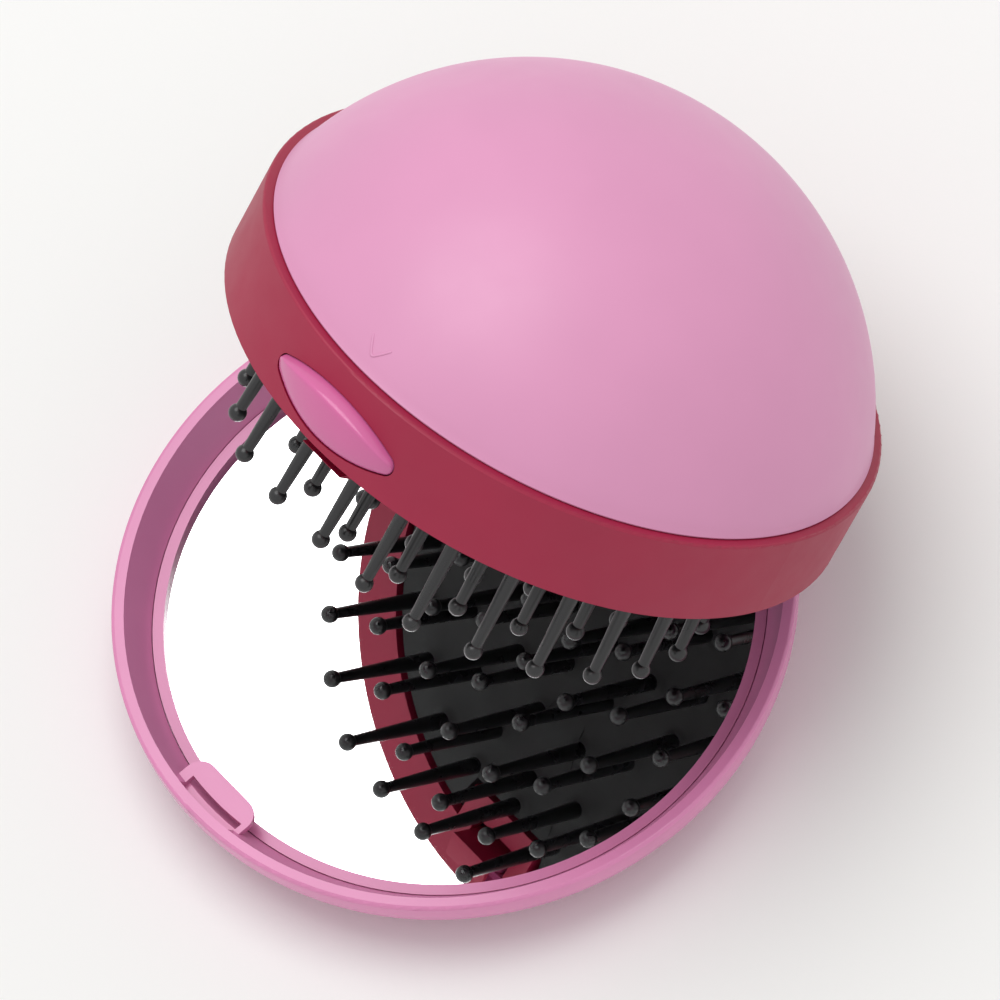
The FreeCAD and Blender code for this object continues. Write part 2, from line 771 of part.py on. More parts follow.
lid_pieces = {
    "lid_shell": make_lid_shell(),
    "mirror_glass": disc(glass_radius, -glass_bottom, -mirror_depth),
    "mirror_pad": disc(glass_radius - pad_margin, -cavity_depth, -glass_bottom),
    "mirror_bezel": make_mirror_bezel(),
    "hinge_pin": make_hinge_pin(),
    "hinge_spring": make_hinge_spring(),
}
dome_pieces = {
    "body_ring": make_body_ring(),
    "dome_cover": make_dome_cover(),
    "guide_plate": make_guide_plate(),
    "plate_screws": make_plate_screws(),
    "latch_housing": make_latch_housing(),
    "latch_tongue": make_latch_tongue(),
    "push_button": make_push_button(),
    "bed_cushion": make_bed_cushion(),
    "bed_carrier": make_bed_carrier(),
    "push_legs": make_push_legs(),
    "pop_spring": make_pop_spring(),
    "pins_centre": make_pins(0),
}
for number in range(1, pin_rings + 1):
    dome_pieces["pins_ring_%d" % number] = make_pins(number)

os.makedirs("parts", exist_ok=True)
pieces = dict(lid_pieces)
for name, shape in dome_pieces.items():
    pieces[name] = swing(shape)
for name, shape in pieces.items():
    shape.translate(Vector(0, 0, lid_height))
    shape.exportStep("parts/%s.step" % name)
    print(name, len(shape.Solids), "solids,", round(shape.Volume, 1), "mm3, valid", shape.isValid())
print("pop travel", round(pop_travel, 3), "mm, hinge at", hinge_y, lid_height + hinge_z)
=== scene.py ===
"""Looks of a round folding pocket hair brush with a mirror in its lid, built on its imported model.

Lengths are in metres. Pieces of the domed half are worked out as if the brush were closed, with the
lid's rim in the plane z = 0, and are then swung open about the hinge and lifted by the lid's height.
"""
import json
import math

import bpy
import numpy as np
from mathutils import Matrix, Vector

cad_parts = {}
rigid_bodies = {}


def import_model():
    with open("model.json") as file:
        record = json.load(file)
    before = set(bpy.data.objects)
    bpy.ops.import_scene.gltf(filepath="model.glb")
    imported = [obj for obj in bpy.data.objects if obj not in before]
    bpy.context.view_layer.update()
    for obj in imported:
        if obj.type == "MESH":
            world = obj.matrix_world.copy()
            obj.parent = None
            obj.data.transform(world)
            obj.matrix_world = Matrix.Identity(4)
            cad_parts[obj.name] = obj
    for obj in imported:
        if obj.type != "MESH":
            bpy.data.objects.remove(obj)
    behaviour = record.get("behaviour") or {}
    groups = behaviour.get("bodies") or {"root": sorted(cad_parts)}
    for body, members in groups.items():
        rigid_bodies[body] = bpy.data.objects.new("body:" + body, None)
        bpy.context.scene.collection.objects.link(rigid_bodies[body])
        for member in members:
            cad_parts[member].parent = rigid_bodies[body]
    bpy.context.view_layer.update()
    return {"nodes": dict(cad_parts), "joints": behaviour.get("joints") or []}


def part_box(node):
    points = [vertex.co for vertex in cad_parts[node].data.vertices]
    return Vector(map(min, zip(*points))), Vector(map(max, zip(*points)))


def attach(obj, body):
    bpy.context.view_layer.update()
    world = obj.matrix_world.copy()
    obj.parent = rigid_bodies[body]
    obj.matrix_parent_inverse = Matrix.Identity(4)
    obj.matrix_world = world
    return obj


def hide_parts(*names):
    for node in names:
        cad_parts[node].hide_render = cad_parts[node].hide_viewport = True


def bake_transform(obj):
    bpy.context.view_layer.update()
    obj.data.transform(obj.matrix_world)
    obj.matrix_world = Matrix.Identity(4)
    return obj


bl_info = {
    "name": "Folding pocket hair brush",
    "version": (1, 0, 0),
    "blender": (4, 5, 0),
    "location": "View3D > Sidebar > Brush",
    "description": "Surfaces, finishes and stage of a folding pocket hair brush",
    "category": "Add Mesh",
}

for startup_object in list(bpy.data.objects):
    bpy.data.objects.remove(startup_object)
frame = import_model()

MM = 0.001
HINGE = next(joint for joint in frame["joints"] if joint["name"] == "lid_hinge")
LID_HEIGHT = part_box("lid_shell")[1].z
RING_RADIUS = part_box("body_ring")[1].x
DOME_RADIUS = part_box("dome_cover")[1].x
BED_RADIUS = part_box("bed_cushion")[1].x
PIN_RINGS = 4


def linear(hex_colour):
    """Linear red, green and blue of an sRGB hex colour, by the sRGB standard's curve."""
    srgb = np.array([int(hex_colour[i:i + 2], 16) for i in (1, 3, 5)]) / 255
    return tuple(np.where(srgb <= 0.04045, srgb / 12.92, ((srgb + 0.055) / 1.055) ** 2.4))


def length(name, description, millimetres):
    """A size that the user can change, shown as a length."""
    return bpy.props.FloatProperty(
        name=name, description=description, default=millimetres * MM, unit="LENGTH", precision=5
    )


def colour(name, description, hex_colour):
    """A colour that the user can change."""
    return bpy.props.FloatVectorProperty(
        name=name, description=description, default=linear(hex_colour),
        size=3, min=0, max=1, subtype="COLOR",
    )


class BrushSizes(bpy.types.PropertyGroup):
    """Sizes of the surfaces that this file makes."""

    ring_top: length("Ring top", "Top of the ring above the lid's rim, closed", 10.3)
    ring_wall: length("Ring wall", "Thickness of the ring's wall", 1.8)
    dome_height: length("Dome height", "Crown of the dome above the ring", 25.0)
    dome_wall: length("Dome wall", "Thickness of the dome", 1.4)
    dome_edge: length("Dome edge", "Rounding of the dome's lower edge", 0.25)
    skirt_depth: length("Skirt depth", "How far the dome plugs into the ring", 3.0)
    skirt_wall: length("Skirt wall", "Thickness of the dome's skirt", 1.1)
    skirt_gap: length("Skirt gap", "Between the dome's skirt and the ring", 0.1)
    mark_level: length("Mark level", "Point of the raised arrow mark above the ring", 1.9)
    mark_rise: length("Mark rise", "Height of the arrow mark", 1.9)
    mark_spread: length("Mark spread", "Half the width of the arrow mark", 1.5)
    mark_width: length("Mark width", "Width of the arrow mark's line", 0.3)
    mark_height: length("Mark height", "How far the arrow mark stands out", 0.1)
    mark_root: length("Mark root", "How far the arrow mark is sunk in the dome", 0.1)
    button_length: length("Button length", "Length of the button", 18.0)
    button_height: length("Button height", "Height of the button", 5.8)
    button_tip: length("Button tip", "Radius of the button's rounded ends", 1.1)
    button_level: length("Button level", "Middle of the button above the lid's rim, closed", 4.2)
    button_bulge: length("Button bulge", "How far the button stands out of the ring", 1.75)
    button_sink: length("Button sink", "How far the edge of the button's front is sunk", 0.15)
    button_fill: length("Button fill", "How far the button's edge fills the gap round it", 0.1)
    button_lap: length("Button lap", "How far the button's flange laps behind the ring's wall", 1.0)
    flange_foot: length("Flange foot", "Lowest reach of the button's flange above the lid's rim", 2.3)
    flange_gap: length("Flange gap", "Between the button's flange and the dome's skirt", 0.3)
    flange_thickness: length("Flange thickness", "Thickness of the button's flange", 0.8)
    stem_half: length("Stem half width", "Half the width of the button's stem", 1.5)
    stem_end: length("Stem end", "From the ring's outside to the end of the button's stem", 4.96)
    bed_face: length("Bed face", "Face of the pin bed above the lid's rim, popped out", 0.6)
    bed_thickness: length("Bed thickness", "Thickness of the bed's rubber face", 1.7)
    bed_crown: length("Bed crown", "How far the bed's face swells in the middle", 0.35)
    bed_edge: length("Bed edge", "Rounding of the bed's edge", 0.4)
    notch_half: length("Notch half width", "Half the width of the bed's notch for the latch", 5.9)
    notch_depth: length("Notch edge", "From the middle of the bed to its notch", 25.24)
    notch_room: length("Notch room", "Between the bed's notch and the middle of a pin", 1.3)
    pin_spacing: length("Pin spacing", "Between the rings of pins", 6.6)
    leg_spread: length("Leg spread", "Half the distance between the push legs", 7.25)
    leg_place: length("Leg place", "From the middle of the bed to the push legs, along Y", 25.95)
    leg_room: length("Leg room", "Least distance of a pin from a push leg", 2.9)
    collar_height: length("Collar height", "Rubber drawn up round each pin", 0.4)
    collar_width: length("Collar width", "Reach of the rubber drawn up round each pin", 1.3)
    tongue_width: length("Tongue width", "Width of the latch's tongue", 6.0)
    tongue_front: length("Tongue front", "From the brush's middle to the tongue's front", 30.743)
    tongue_thickness: length("Tongue thickness", "Thickness of the latch's tongue", 0.8)
    tongue_top: length("Tongue top", "Top of the latch's tongue above the lid's rim, closed", 7.7)
    tongue_root: length("Tongue root", "Thickness of the tongue where it is held", 1.2)
    tongue_back: length("Tongue back", "From the brush's middle to where the tongue is held", 26.943)
    hook_level: length("Hook level", "Top of the latch's hook below the lid's rim, closed", 2.3)
    hook_thickness: length("Hook thickness", "Thickness of the latch's hook", 0.8)
    hook_reach: length("Hook reach", "How far the latch's hook stands out of the tongue", 2.5)
    coil_radius: length("Coil radius", "Radius of the pop spring, to the middle of its wire", 3.6)
    coil_wire: length("Coil wire", "Thickness of the pop spring's wire", 0.9)
    coil_low: length("Coil foot", "Foot of the pop spring above the lid's rim, popped out", 4.25)
    coil_high: length("Coil head", "Head of the pop spring above the lid's rim, closed", 28.05)
    coil_turns: bpy.props.IntProperty(name="Coil turns", description="Turns of the pop spring", default=8)


class BrushColours(bpy.types.PropertyGroup):
    """Colours of the brush and of the floor."""

    dome: colour("Dome", "Pale pink dome", "#da94ba")
    ring: colour("Ring", "Dark pink ring", "#9c0e3a")
    lid: colour("Lid", "Pink lid", "#de87b5")
    button: colour("Button", "Pink button", "#d2659d")
    pins: colour("Pins", "Black pins", "#1c1c1e")
    inside: colour("Inside", "Black pieces inside", "#18181a")
    rubber: colour("Rubber", "Black rubber face of the bed", "#262627")
    floor: colour("Floor", "Pale floor", "#f4f4f2")


def unit(vectors):
    """Vectors divided by their lengths."""
    return vectors / np.linalg.norm(vectors, axis=-1, keepdims=True)


def swung_open(points):
    """Points of the closed brush, lifted by the lid's height and turned about the hinge by its whole range.

    The turn is about X, so y and z are mixed by its cosine and sine.
    """
    turn = -math.radians(HINGE["range_deg"][1])
    pivot = np.array(HINGE["pos_m"])
    x, y, z = np.moveaxis(points + [0, 0, LID_HEIGHT] - pivot, -1, 0)
    turned = [x, y * math.cos(turn) - z * math.sin(turn), y * math.sin(turn) + z * math.cos(turn)]
    return np.stack(turned, -1) + pivot


def with_ends(rows):
    """Rows whose first and last are doubled, so that skin closes each end with a flat fan."""
    return np.concatenate([rows[:1], rows, rows[-1:]])


def put_in_scene(name, data):
    """A new object with this data, in the scene."""
    added = bpy.data.objects.new(name, data)
    bpy.context.scene.collection.objects.link(added)
    return added


def skin(name, rows, body, material, sharp=35):
    """A closed surface from a grid of rows: each row is a ring of points.

    The first and last rows shrink to their middles. The faces are turned round if the volume that they
    hold, summed over triangles, comes out negative. Edges sharper than the angle sharp, in degrees, stay
    crisp. A piece that bends across a joint has no body of its own.
    """
    count = rows.shape[1]
    points = np.concatenate([rows[:1].mean(1), rows[1:-1].reshape(-1, 3), rows[-1:].mean(1)])
    here = 1 + np.arange(len(points) - 2).reshape(-1, count)
    after = np.roll(here, -1, 1)
    quads = np.stack([here[:-1], here[1:], after[1:], after[:-1]], -1).reshape(-1, 4)
    first = np.stack([np.zeros(count, int), here[0], after[0]], -1)
    last = np.stack([np.full(count, len(points) - 1), after[-1], here[-1]], -1)
    triangles = np.concatenate([quads[:, :3], quads[:, [0, 2, 3]], first, last])
    a, b, c = np.moveaxis(points[triangles] - points.mean(0), 1, 0)
    if np.sum(a * np.cross(b, c)) < 0:
        quads, first, last = quads[:, ::-1], first[:, ::-1], last[:, ::-1]
    mesh = bpy.data.meshes.new(name)
    mesh.from_pydata(points.tolist(), [], quads.tolist() + first.tolist() + last.tolist())
    mesh.polygons.foreach_set("use_smooth", np.ones(len(mesh.polygons), bool))
    mesh.set_sharp_from_angle(angle=math.radians(sharp))
    mesh.materials.append(bpy.data.materials[material])
    piece = put_in_scene(name, mesh)
    if body:
        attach(piece, body)
    return piece


def finish_nodes(material, *nodes):
    """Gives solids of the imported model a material."""
    for node in nodes:
        frame["nodes"][node].material_slots[0].material = bpy.data.materials[material]


def add_node(tree, kind, inputs=None, **settings):
    """Adds a node: settings are its own, inputs are its sockets, each a value or another node's output."""
    node = tree.nodes.new(kind)
    for name, value in settings.items():
        setattr(node, name, value)
    for name, value in (inputs or {}).items():
        if isinstance(value, bpy.types.NodeSocket):
            tree.links.new(value, node.inputs[name])
        else:
            node.inputs[name].default_value = value
    return node


def new_material(name):
    """A material with no shader yet: returns its tree and the coordinates of the piece that wears it."""
    material = bpy.data.materials.new(name)
    material.use_nodes = True
    tree = material.node_tree
    tree.nodes.clear()
    return tree, add_node(tree, "ShaderNodeTexCoord").outputs["Object"]


def moulded(name, base, roughness, grain, depth, ior=1.53, drift=0.05):
    """Injection-moulded plastic or rubber.

    Its colour drifts a little with the melt's flow, over about 14 mm. The mould's texture, of size grain
    and height depth, shows as bumps, and handling leaves patches of about 3 mm a little glossier or duller.
    """
    tree, place = new_material(name)
    flow_size, scuff_size = 14 * MM, 3 * MM
    scuff_share = 0.06
    low, high = 0.3, 0.7  # most of a noise's values lie between these
    flow = add_node(tree, "ShaderNodeTexNoise", {"Vector": place, "Scale": 1 / flow_size, "Detail": 2.0})
    tint = add_node(tree, "ShaderNodeValToRGB", {"Fac": flow.outputs["Fac"]})
    ends = (low, 1 - drift), (high, 1 + drift)
    for element, (position, share) in zip(tint.color_ramp.elements, ends):
        element.position = position
        element.color = (*(min(1.0, channel * share) for channel in base), 1.0)
    texture = add_node(tree, "ShaderNodeTexNoise", {"Vector": place, "Scale": 1 / grain, "Detail": 3.0})
    bump = add_node(tree, "ShaderNodeBump", {"Height": texture.outputs["Fac"], "Distance": depth})
    scuff = add_node(tree, "ShaderNodeTexNoise", {"Vector": place, "Scale": 1 / scuff_size, "Detail": 6.0})
    gloss = add_node(
        tree, "ShaderNodeMapRange",
        {"Value": scuff.outputs["Fac"], "From Min": low, "From Max": high,
         "To Min": roughness * (1 - scuff_share), "To Max": roughness * (1 + scuff_share)},
    )
    surface = add_node(
        tree, "ShaderNodeBsdfPrincipled",
        {"Base Color": tint.outputs["Color"], "Roughness": gloss.outputs["Result"], "IOR": ior,
         "Normal": bump.outputs["Normal"]},
    )
    add_node(tree, "ShaderNodeOutputMaterial", {"Surface": surface.outputs["BSDF"]})


def silvered_glass(name):
    """Float glass with silver behind it: a clean mirror, its gloss a little uneven from wiping."""
    tree, place = new_material(name)
    wipe_size = 18 * MM
    wipe = add_node(tree, "ShaderNodeTexNoise", {"Vector": place, "Scale": 1 / wipe_size, "Detail": 4.0})
    gloss = add_node(
        tree, "ShaderNodeMapRange",
        {"Value": wipe.outputs["Fac"], "From Min": 0.4, "From Max": 0.8, "To Min": 0.004, "To Max": 0.02},
    )
    surface = add_node(
        tree, "ShaderNodeBsdfPrincipled",
        {"Base Color": (*linear("#f6f8f8"), 1.0), "Metallic": 1.0, "Roughness": gloss.outputs["Result"]},
    )
    add_node(tree, "ShaderNodeOutputMaterial", {"Surface": surface.outputs["BSDF"]})


def drawn_steel(name):
    """Bright spring wire and rod: drawing leaves fine lines along X, at 0.2 mm here so that they show."""
    tree, place = new_material(name)
    line_width = 0.2 * MM
    stretch = (0.1, 1.0, 1.0)
    along = add_node(tree, "ShaderNodeMapping", {"Vector": place, "Scale": stretch})
    lines = add_node(
        tree, "ShaderNodeTexNoise",
        {"Vector": along.outputs["Vector"], "Scale": 1 / line_width, "Detail": 2.0},
    )
    gloss = add_node(
        tree, "ShaderNodeMapRange",
        {"Value": lines.outputs["Fac"], "From Min": 0.3, "From Max": 0.7, "To Min": 0.18, "To Max": 0.34},
    )
    surface = add_node(
        tree, "ShaderNodeBsdfPrincipled",
        {"Base Color": (*linear("#b9b9bd"), 1.0), "Metallic": 1.0, "Roughness": gloss.outputs["Result"]},
    )
    add_node(tree, "ShaderNodeOutputMaterial", {"Surface": surface.outputs["BSDF"]})


def foam_tape(name):
    """White closed-cell foam: dull, with cells of about 0.3 mm."""
    tree, place = new_material(name)
    cell_size, cell_depth = 0.3 * MM, 0.05 * MM
    cells = add_node(tree, "ShaderNodeTexVoronoi", {"Vector": place, "Scale": 1 / cell_size})
    bump = add_node(tree, "ShaderNodeBump", {"Height": cells.outputs["Distance"], "Distance": cell_depth})
    surface = add_node(
        tree, "ShaderNodeBsdfPrincipled",
        {"Base Color": (*linear("#dcdcd6"), 1.0), "Roughness": 0.9, "Normal": bump.outputs["Normal"]},
    )
    add_node(tree, "ShaderNodeOutputMaterial", {"Surface": surface.outputs["BSDF"]})


def matte_card(name, base):
    """Pale card under the brush: dull, with a fibre texture of about 0.5 mm."""
    tree, place = new_material(name)
    fibre_size, fibre_depth = 0.5 * MM, 0.01 * MM
    fibres = add_node(tree, "ShaderNodeTexNoise", {"Vector": place, "Scale": 1 / fibre_size, "Detail": 4.0})
    bump = add_node(tree, "ShaderNodeBump", {"Height": fibres.outputs["Fac"], "Distance": fibre_depth})
    surface = add_node(
        tree, "ShaderNodeBsdfPrincipled",
        {"Base Color": (*base, 1.0), "Roughness": 0.9, "Normal": bump.outputs["Normal"]},
    )
    add_node(tree, "ShaderNodeOutputMaterial", {"Surface": surface.outputs["BSDF"]})


def cap(across, rise, wall, count):
    """Half section of the face that lies wall inside a spherical cap, from its base to its crown.

    The cap has half width across and height rise, so its ball has radius (across^2 + rise^2) / (2 rise).
    """
    ball = (across ** 2 + rise ** 2) / (2 * rise)
    angle = np.linspace(math.asin((ball - rise) / (ball - wall)), math.pi / 2, count)
    return np.stack([(ball - wall) * np.cos(angle), (ball - wall) * np.sin(angle) + rise - ball], -1)


def spun(profile, count):
    """A half section of (radius, height) points, carried round the Z axis."""
    around = np.linspace(0, 2 * math.pi, count, endpoint=False)
    radius, height = profile[:, :1], profile[:, 1:]
    return np.stack([radius * np.cos(around), radius * np.sin(around), height + 0 * around], -1)


def dome_radius_at(height, sizes):
    """Radius of the dome's outside at a height above the ring, read off its section."""
    curve = cap(DOME_RADIUS, sizes.dome_height, wall=0.0, count=200)
    return np.interp(height, curve[:, 1], curve[:, 0])


def pin_roots(sizes):
    """Where the pins and push legs stand on the bed, as points (x, y).

    Ring k has 6k pins at k spacings from the middle, and the second and third rings are turned by half
    a step. Pins in the way of the latch stand at the edge of its notch, and pins in the way of the push
    legs, or behind the legs, are left out.
    """
    rings = [np.zeros((1, 2))]
    for k in range(1, PIN_RINGS + 1):
        turn = 2 * math.pi * (np.arange(6 * k) + (0.5 if k in (2, 3) else 0.0)) / (6 * k)
        rings.append(k * sizes.pin_spacing * np.stack([np.cos(turn), np.sin(turn)], -1))
    pins = np.concatenate(rings)
    legs = np.array([(-sizes.leg_spread, sizes.leg_place), (sizes.leg_spread, sizes.leg_place)])
    nearest = sizes.notch_room - sizes.notch_depth
    by_latch = (abs(pins[:, 0]) < sizes.notch_half + sizes.notch_room) & (pins[:, 1] < nearest)
    pins[by_latch, 1] = nearest
    by_legs = np.min(np.linalg.norm(pins[:, None] - legs, axis=-1), 1) < sizes.leg_room
    behind = pins[:, 1] > sizes.leg_place
    return np.concatenate([pins[~(by_legs | behind)], legs])


class BRUSH_OT_finishes(bpy.types.Operator):
    """Make the materials"""

    bl_idname = "brush.finishes"
    bl_label = "Finishes"

    def execute(self, context):
        colours = context.scene.brush_colours
        # Spark-eroded mould: a soft broad highlight; its grain of 0.1 mm is drawn at 0.3 mm so that it shows
        moulded(
            "Satin ABS, pale pink", colours.dome,
            roughness=0.42, grain=0.3 * MM, depth=0.003 * MM, drift=0.02,
        )
        # Stoned mould: a soft highlight on edges, and walls that stay deep in colour
        moulded(
            "Semi-gloss ABS, dark pink", colours.ring, roughness=0.52, grain=0.5 * MM, depth=0.003 * MM
        )
        # Polished moulds: a clear highlight over faint waves
        moulded("Polished ABS, pink", colours.lid, roughness=0.24, grain=5 * MM, depth=0.004 * MM)
        moulded("Polished ABS, button pink", colours.button, roughness=0.18, grain=5 * MM, depth=0.003 * MM)
        # Black pieces: shiny nylon pins, dull acetal inside, rubber that takes hardly any highlight
        moulded(
            "Nylon, black", colours.pins, roughness=0.28, grain=1.5 * MM, depth=0.01 * MM, drift=0.15
        )
        moulded(
            "Acetal, black", colours.inside,
            roughness=0.45, grain=0.4 * MM, depth=0.006 * MM, ior=1.48, drift=0.15,
        )
        moulded(
            "Silicone rubber, black", colours.rubber,
            roughness=0.65, grain=0.3 * MM, depth=0.01 * MM, ior=1.42, drift=0.2,
        )
        silvered_glass("Silvered glass")
        drawn_steel("Drawn steel")
        foam_tape("Foam tape")
        matte_card("Matte card", colours.floor)
        return {"FINISHED"}


class BRUSH_OT_dome(bpy.types.Operator):
    """Make the pale pink dome with its skirt"""

    bl_idname = "brush.dome"
    bl_label = "Dome"

    def execute(self, context):
        sizes = context.scene.brush_sizes
        outer = cap(DOME_RADIUS, sizes.dome_height, wall=0.0, count=80)[::-1]
        inner = cap(DOME_RADIUS, sizes.dome_height, wall=sizes.dome_wall, count=60)
        # The lower edge is a quarter circle, and the skirt under it a plain tube
        bend = sizes.dome_edge
        angle = np.linspace(0, -math.pi / 2, 6)
        edge = np.stack([DOME_RADIUS + bend * (np.cos(angle) - 1), bend * (1 + np.sin(angle))], -1)
        outside = RING_RADIUS - sizes.ring_wall - sizes.skirt_gap
        inside = outside - sizes.skirt_wall
        low = -sizes.skirt_depth
        skirt = np.array([(outside, 0), (outside, low), (inside, low), (inside, 0)])
        profile = np.concatenate([outer[outer[:, 1] > bend], edge, skirt, inner]) + [0, sizes.ring_top]
        piece = skin(
            "dome_shell", swung_open(spun(profile, count=192)), "brush_half",
            "Satin ABS, pale pink",
        )
        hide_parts("dome_cover")
        return {"FINISHED"}


class BRUSH_OT_mark(bpy.types.Operator):
    """Make the raised arrow on the dome that points at the button"""

    bl_idname = "brush.mark"
    bl_label = "Arrow mark"

    def execute(self, context):
        sizes = context.scene.brush_sizes
        # A V that points down at the button, its corner rounded as a hyperbola, laid on the dome
        step = np.linspace(-1, 1, 81)
        bend = 0.15
        x = sizes.mark_spread * step
        height = sizes.mark_level + sizes.mark_rise * (np.hypot(step, bend) - bend)
        radius = dome_radius_at(height, sizes)
        y = -np.sqrt(radius ** 2 - x ** 2)
        path = np.stack([x, y, sizes.ring_top + height], -1)
        along = unit(np.gradient(path, axis=0))
        # The dome's normal, from the change of its radius between a probe below and a probe above
        probe = 0.1 * MM
        slope = (dome_radius_at(height - probe, sizes) - dome_radius_at(height + probe, sizes)) / (2 * probe)
        normal = unit(np.stack([x / radius, y / radius, slope], -1))
        across = np.cross(normal, along)
        # A half ellipse stands on the surface, and a shallow one closes it below
        angle = np.linspace(0, 2 * math.pi, 16, endpoint=False)
        wide = sizes.mark_width / 2 * np.cos(angle)
        high = np.where(np.sin(angle) > 0, sizes.mark_height, sizes.mark_root) * np.sin(angle)
        section = across[:, None] * wide[:, None] + normal[:, None] * high[:, None]
        # Its ends run out as the root of 1 - step^12
        taper = np.sqrt(np.clip(1 - step ** 12, 0, 1))[:, None, None]
        skin(
            "arrow_mark", swung_open(path[:, None] + taper * section), "brush_half",
            "Satin ABS, pale pink", sharp=80,
        )
        return {"FINISHED"}


class BRUSH_OT_ring(bpy.types.Operator):
    """Finish the dark ring, and make the springy tongue of its latch"""

    bl_idname = "brush.ring"
    bl_label = "Ring and latch"

    def execute(self, context):
        finish_nodes("Semi-gloss ABS, dark pink", "body_ring", "latch_housing")
        sizes = context.scene.brush_sizes
        # The tongue's front and rear are lines of (y, z), back to front at its root, down the blade and
        # out to the hook, with points a step away from corners; the space between them is carried across
        step = 0.2 * MM
        front = -sizes.tongue_front
        rear = front + sizes.tongue_thickness
        held = -sizes.tongue_back
        top = sizes.tongue_top
        below = top - sizes.tongue_root
        hook = -sizes.hook_level
        bottom = hook - sizes.hook_thickness
        tip = front - sizes.hook_reach + step
        tip_low = hook - sizes.hook_thickness * step / sizes.hook_reach
        down = np.linspace(below - step, hook + step, 40)
        front_line = np.concatenate([
            [(held, top), (front, top)],
            np.stack([front + 0 * down, down], -1),
            [(front, hook), (front - step, hook), (tip, hook)],
        ])
        rear_line = np.concatenate([
            [(held, below), (rear, below)],
            np.stack([rear + 0 * down, down], -1),
            [(rear, bottom), (front, bottom), (tip, tip_low)],
        ])
        half = sizes.tongue_width / 2
        corners = (front_line, -half), (front_line, half), (rear_line, half), (rear_line, -half)
        rows = np.stack([np.insert(line, 0, x, axis=1) for line, x in corners], 1)
        piece = skin(
            "latch_hook", swung_open(with_ends(rows)), None, "Semi-gloss ABS, dark pink"
        )
        # The button's stem bends it just under its root
        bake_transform(piece)
        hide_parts("latch_tongue")
        return {"FINISHED"}


class BRUSH_OT_button(bpy.types.Operator):
    """Make the lens-shaped push button with its flange and stem"""

    bl_idname = "brush.button"
    bl_label = "Button"

    def execute(self, context):
        sizes = context.scene.brush_sizes
        end = sizes.button_length / 2 + sizes.button_fill
        rise = sizes.button_height / 2 + sizes.button_fill
        tip = sizes.button_tip + sizes.button_fill
        flat = ((end - tip) ** 2 + rise ** 2 - tip ** 2) / (2 * (rise - tip))

        def half_height(x):
            """Half the lens's height at x: a flat arc that the small arcs of the two tips touch."""
            over_tip = np.sqrt(np.clip(tip ** 2 - (abs(x) - end + tip) ** 2, 0, None))
            over_flat = np.sqrt(flat ** 2 - x ** 2) - (flat - rise)
            return np.where(abs(x) > (end - tip) * flat / (flat - tip), over_tip, over_flat)

        def on_ring(outline, sink, out=0.0):
            """An outline laid on the cylinder that lies sink inside the ring's wall, moved out."""
            x, z = outline.T
            return np.stack([x, -np.sqrt((RING_RADIUS - sink) ** 2 - x ** 2) - out, z], -1)

        def swell(x, z):
            """How far the front stands out: two slopes that meet in a soft ridge near the upper edge.

            The lesser of the two slopes counts, smoothed over soft where they meet, and is rounded by a
            power. The ends come down as a power of 1 - (x / end)^2.
            """
            ridge, soft = 0.74, 0.34
            round_power, end_power = 0.7, 0.35
            share = np.clip(z / np.maximum(half_height(x), 0.01 * MM), -1, 1)
            low, high = (1 + share) / (1 + ridge), (1 - share) / (1 - ridge)
            slope = (low + high - np.sqrt((low - high) ** 2 + soft ** 2)) / 2
            ends = np.clip(1 - (x / end) ** 2, 0, 1) ** end_power
            return sizes.button_bulge * np.clip(slope, 0, 1) ** round_power * ends

        # Front: the lens, shrunk step by step to its middle
        angle = np.linspace(0, 2 * math.pi, 160, endpoint=False)
        circle = np.stack([np.cos(angle), np.sin(angle)], -1)
        x = end * circle[:, 0]
        lens = np.stack([x, np.sign(circle[:, 1]) * half_height(x)], -1)
        shrunk = [lens * share for share in np.sin(np.linspace(0, math.pi / 2, 60))]
        rows = [on_ring(outline, sizes.button_sink, swell(*outline.T)) for outline in shrunk]
        # Flange: the lens grown by its lap, and cut off level below and above
        along = np.roll(lens, -1, 0) - np.roll(lens, 1, 0)
        flange = lens + sizes.button_lap * unit(np.stack([along[:, 1], -along[:, 0]], -1))
        low = sizes.flange_foot - sizes.button_level
        high = sizes.ring_top - sizes.skirt_depth - sizes.flange_gap - sizes.button_level
        flange[:, 1] = np.clip(flange[:, 1], low, high)
        inside = sizes.ring_wall + sizes.skirt_gap
        behind = inside + sizes.flange_thickness
        rows += [on_ring(lens, inside), on_ring(flange, inside), on_ring(flange, behind)]
        # Stem: a square with rounded corners, cosine and sine to the power 1/3
        stem = sizes.stem_half * np.sign(circle) * abs(circle) ** (1 / 3)
        back = np.full(len(angle), sizes.stem_end - RING_RADIUS)
        rows += [on_ring(stem, behind), np.stack([stem[:, 0], back, stem[:, 1]], -1)]
        rows += [np.stack([0 * back, back, 0 * back], -1)]
        piece = skin(
            "button_cap", swung_open(np.array(rows) + [0, 0, sizes.button_level]), "button",
            "Polished ABS, button pink", sharp=40,
        )
        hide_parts("push_button")
        return {"FINISHED"}


